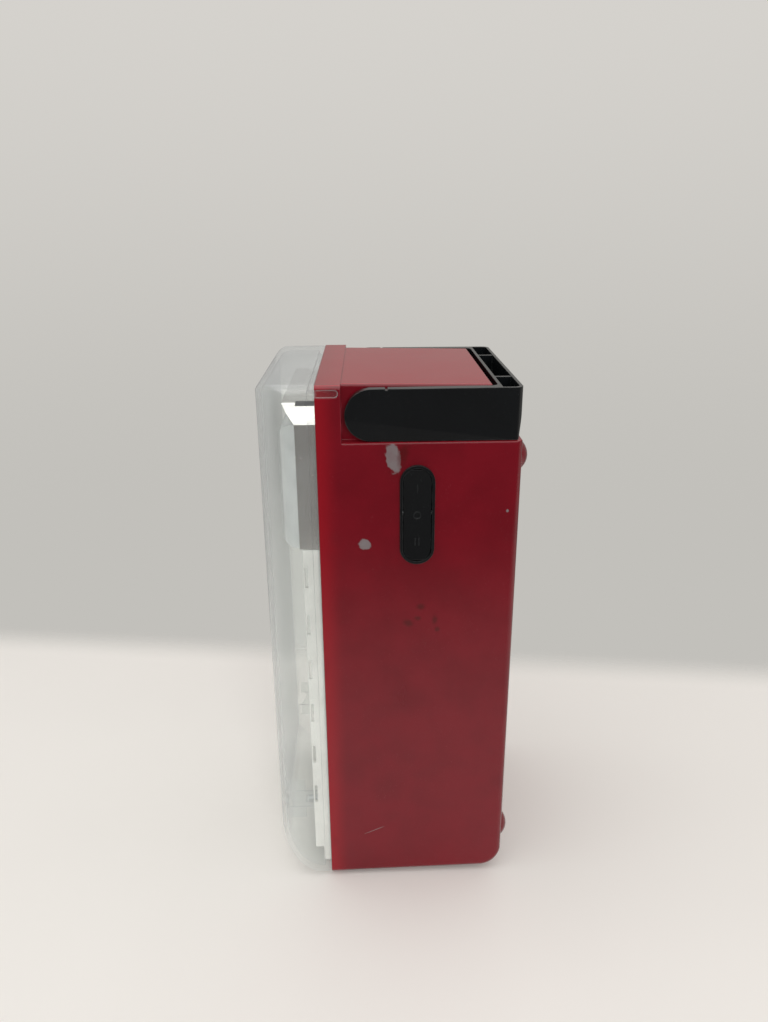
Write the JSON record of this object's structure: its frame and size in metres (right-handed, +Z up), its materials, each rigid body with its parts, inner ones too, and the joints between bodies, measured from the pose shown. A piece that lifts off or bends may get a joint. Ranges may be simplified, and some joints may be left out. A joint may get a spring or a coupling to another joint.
{
  "type": "rechargeable lantern",
  "caption": "Rechargeable LED emergency lantern: red tub housing with a clear full-height lens, folding carry handle and side rocker switch.",
  "frame": {"origin": "on the floor, under the middle of the lantern's outer box", "axes": "+Z up; the clear lens faces -Y; the rocker switch is on +X and the mains inlet on -X"},
  "size_m": [0.1015, 0.1057, 0.231],
  "materials": {
    "red_abs": "glossy moulded ABS, lightly scratched",
    "clear_pc": "clear glossy polycarbonate",
    "white_abs": "satin white moulded ABS",
    "chrome": "vacuum-metallised mirror finish",
    "led_epoxy": "water-clear epoxy with a yellow phosphor core",
    "black_abs": "fine textured black moulding",
    "black_switch": "satin black moulding",
    "steel": "zinc-plated steel",
    "brass": "plain brass",
    "pcb_green": "solder mask over fibreglass",
    "pcb_white": "white solder mask over fibreglass",
    "aluminium": "as extruded",
    "battery_case": "dark grey moulded case",
    "foam": "closed-cell foam",
    "film_red": "dipped epoxy",
    "sleeve_blue": "shrink sleeve",
    "epoxy_black": "moulded epoxy",
    "lead_red": "PVC insulation",
    "lead_black": "PVC insulation",
    "lead_white": "PVC insulation",
    "lead_orange": "PVC insulation",
    "lead_brown": "PVC insulation",
    "indicator": "tinted epoxy"
  },
  "bodies": {
    "lantern": {"housing": "red_abs", "lens": "clear_pc", "led_tray": "white_abs", "reflector_frame": "chrome", "spot_reflector": "chrome", "spot_lens": "clear_pc", "spot_led": "led_epoxy", "spot_heatsink": "aluminium", "led_board": "pcb_white", "panel_leds": "led_epoxy", "panel_screws": "steel", "case_screws": "steel", "switch_bezel": "black_switch", "switch_pin": "steel", "switch_body": "black_abs", "switch_terminals": "brass", "inlet_body": "black_switch", "inlet_pins": "steel", "charge_leds": "indicator", "battery": "battery_case", "battery_terminals": "brass", "battery_clamp": "steel", "battery_pad": "foam", "board_screws": "steel", "main_board": "pcb_green", "film_capacitor": "film_red", "electrolytic_capacitors": "sleeve_blue", "rectifier_diodes": "epoxy_black", "driver_transistor": "epoxy_black", "battery_lead_red": "lead_red", "battery_lead_black": "lead_black", "panel_leads": "lead_white", "spot_leads": "lead_red", "switch_leads": "lead_orange", "inlet_leads": "lead_brown"},
    "handle": {"handle": "black_abs"},
    "rocker": {"switch_rocker": "black_switch"}
  },
  "joints": [
    {"name": "handle_hinge", "type": "hinge", "parent": "lantern", "child": "handle", "pos_m": [0, -0.00835, 0.2194], "axis": [1, 0, 0], "range_deg": [0, 90]},
    {"name": "rocker_hinge", "type": "hinge", "parent": "lantern", "child": "rocker", "pos_m": [0.0465, 0.00901, 0.1799], "axis": [-0.0157, 0.9999, 0], "range_deg": [-6, 6]}
  ]
}
